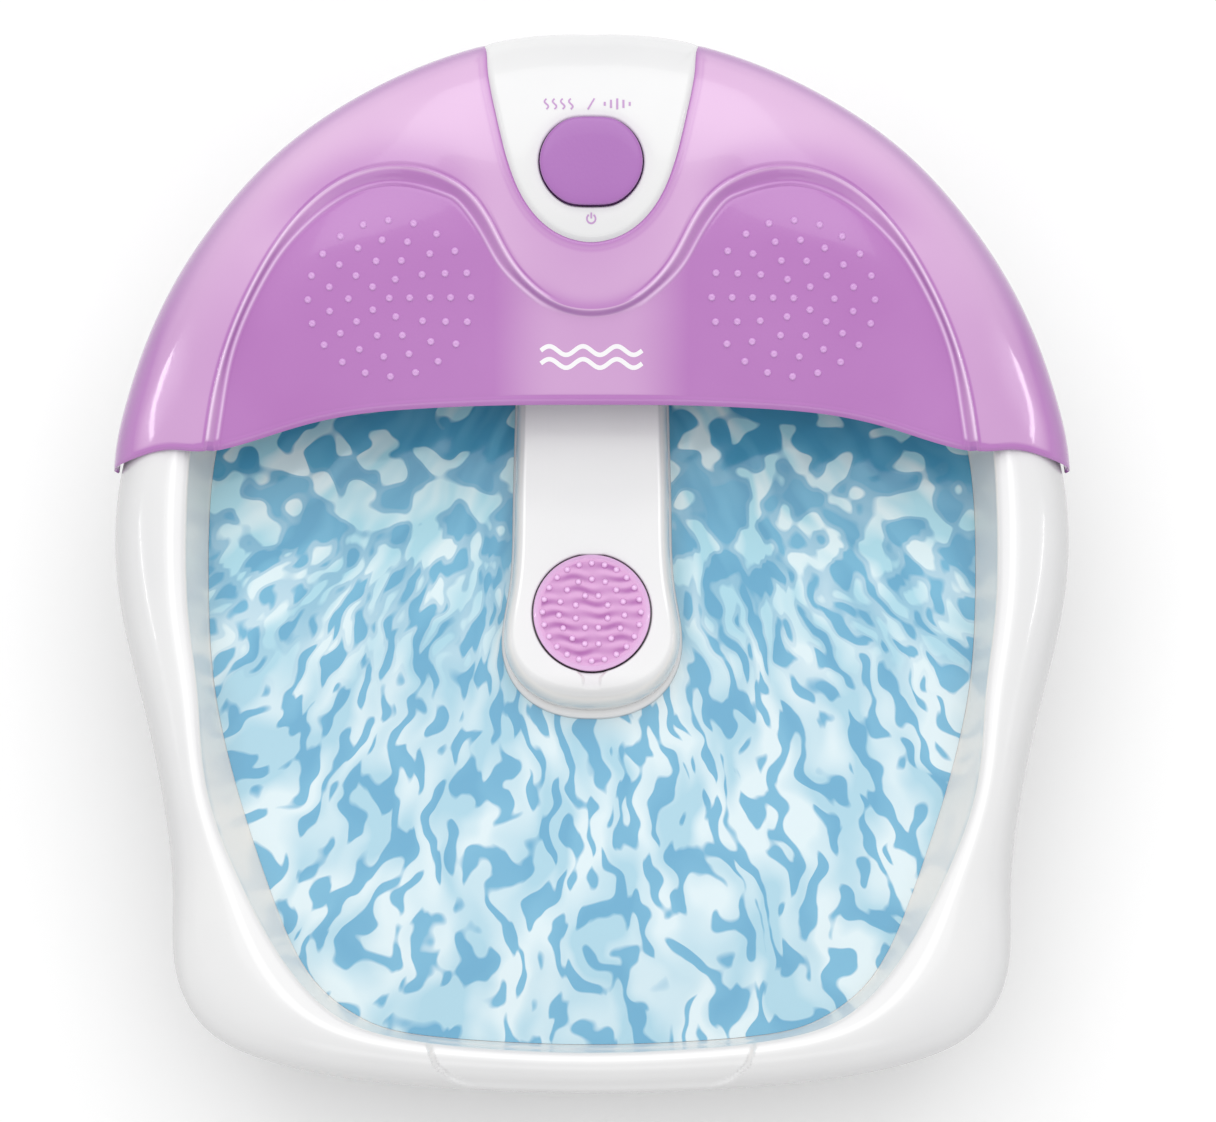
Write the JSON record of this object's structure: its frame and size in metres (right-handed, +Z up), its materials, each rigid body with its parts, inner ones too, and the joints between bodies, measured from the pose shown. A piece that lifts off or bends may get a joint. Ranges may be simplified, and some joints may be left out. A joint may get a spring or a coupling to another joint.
{
  "type": "foot spa basin",
  "caption": "Open foot bath with a rounded tub, a domed splash guard over its back, a push button on a rear panel, and a centre column with a lift-off massage disc.",
  "frame": {"origin": "on the floor, under the middle of the whole object", "axes": "+Z up, -Y towards the pouring lip at the user's heels, +Y towards the control panel, mirror symmetric outline about X = 0"},
  "size_m": [0.37, 0.3929, 0.1902],
  "materials": {
    "white_gloss": "glossy injection-moulded ABS",
    "white_matte": "fine-grained moulded plastic",
    "purple_gloss": "glossy, slightly translucent tinted plastic",
    "button_purple": "satin moulded plastic",
    "pink_plastic": "soft-gloss moulded plastic",
    "black_rubber": "matte moulded rubber",
    "grey_rubber": "matte moulded rubber",
    "steel": "zinc plated",
    "brass": "plain turned brass",
    "copper": "enamelled copper winding",
    "ferrite": "sintered ferrite",
    "aluminium": "rolled sheet",
    "red_silicone": "silicone rubber",
    "green_board": "solder-masked board",
    "black_plastic": "moulded plastic"
  },
  "bodies": {
    "basin": {"basin_shell": "white_gloss", "base_cover": "white_matte", "foot_front_left": "black_rubber", "foot_front_right": "black_rubber", "foot_rear_left": "black_rubber", "foot_rear_right": "black_rubber", "base_screw_1": "steel", "base_screw_2": "steel", "base_screw_3": "steel", "base_screw_4": "steel", "base_screw_5": "steel", "base_screw_6": "steel", "splash_guard": "purple_gloss", "control_panel": "white_gloss", "switch_body": "black_plastic", "switch_nut": "brass", "switch_bracket": "steel", "bracket_screw_1": "steel", "bracket_screw_2": "steel", "switch_terminal_1": "brass", "switch_terminal_2": "brass", "electronics_pod": "black_plastic", "pod_screw_1": "steel", "pod_screw_2": "steel", "centre_column": "white_gloss", "column_seal": "grey_rubber", "column_screw_1": "steel", "column_screw_2": "steel", "motor_can": "steel", "motor_end_cap": "black_plastic", "motor_magnet_1": "ferrite", "motor_magnet_2": "ferrite", "motor_bracket": "steel", "motor_grommet_left": "black_rubber", "motor_screw_left": "steel", "motor_grommet_right": "black_rubber", "motor_screw_right": "steel", "heater_plate": "aluminium", "heater_element": "red_silicone", "heater_insulation": "white_matte", "heater_strap": "steel", "strap_screw_1": "steel", "strap_screw_2": "steel", "thermostat": "black_plastic", "circuit_board": "green_board", "rectifier": "black_plastic", "capacitor": "black_plastic", "cord_gland": "grey_rubber", "lead_switch_feed": "black_plastic", "lead_switch_return": "black_plastic", "lead_motor_feed": "black_plastic", "lead_motor_return": "black_plastic", "lead_heater": "red_silicone"},
    "button": {"power_button": "button_purple"},
    "plunger": {"switch_plunger": "black_plastic"},
    "disc": {"massage_disc": "pink_plastic"},
    "rotor": {"motor_shaft": "steel", "motor_armature": "copper", "eccentric_weight": "brass"}
  },
  "joints": [
    {"name": "button_press", "type": "slide", "parent": "basin", "child": "button", "axis": [0, 0.2834, -0.959], "range_m": [0, 0.0025], "stiffness_N_per_m": 900, "springref_m": -0.002},
    {"name": "plunger_press", "type": "slide", "parent": "basin", "child": "plunger", "axis": [0, 0.2834, -0.959], "range_m": [0, 0.0025]},
    {"name": "disc_lift", "type": "slide", "parent": "basin", "child": "disc", "axis": [0, 0, 1], "range_m": [0, 0.12]},
    {"name": "rotor_spin", "type": "hinge", "parent": "basin", "child": "rotor", "pos_m": [0, -0.01, 0.06], "axis": [0, 1, 0], "continuous": true}
  ],
  "couplings": [
    {"joint": "plunger_press", "follows": "button_press", "ratio": 1}
  ]
}
